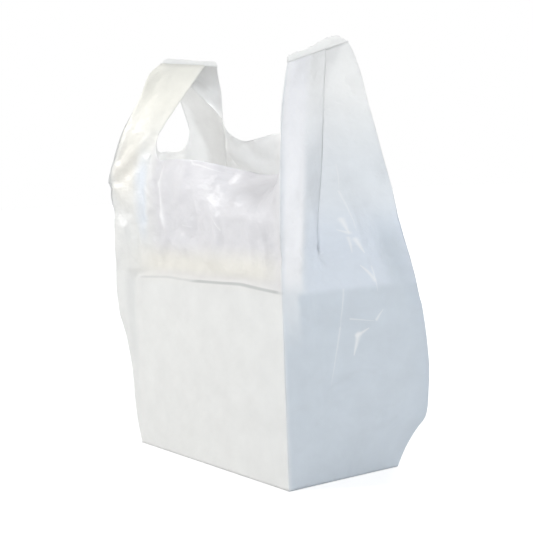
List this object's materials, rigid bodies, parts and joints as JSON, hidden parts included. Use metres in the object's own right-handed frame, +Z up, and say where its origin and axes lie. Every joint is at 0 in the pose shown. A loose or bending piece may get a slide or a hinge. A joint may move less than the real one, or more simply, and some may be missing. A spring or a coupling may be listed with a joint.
{
  "type": "plastic carrier bag",
  "caption": "Thin white vest-shaped plastic carrier bag, standing open on its squared base with two handles up.",
  "frame": {"origin": "centre of the flat base, where it rests", "axes": "+Z up to the handles, +X from the left handle to the right handle, -Y towards the front panel"},
  "size_m": [0.3463, 0.1935, 0.4609],
  "materials": {
    "film": "satin"
  },
  "bodies": {
    "root": {"bag": "film"}
  },
  "joints": []
}
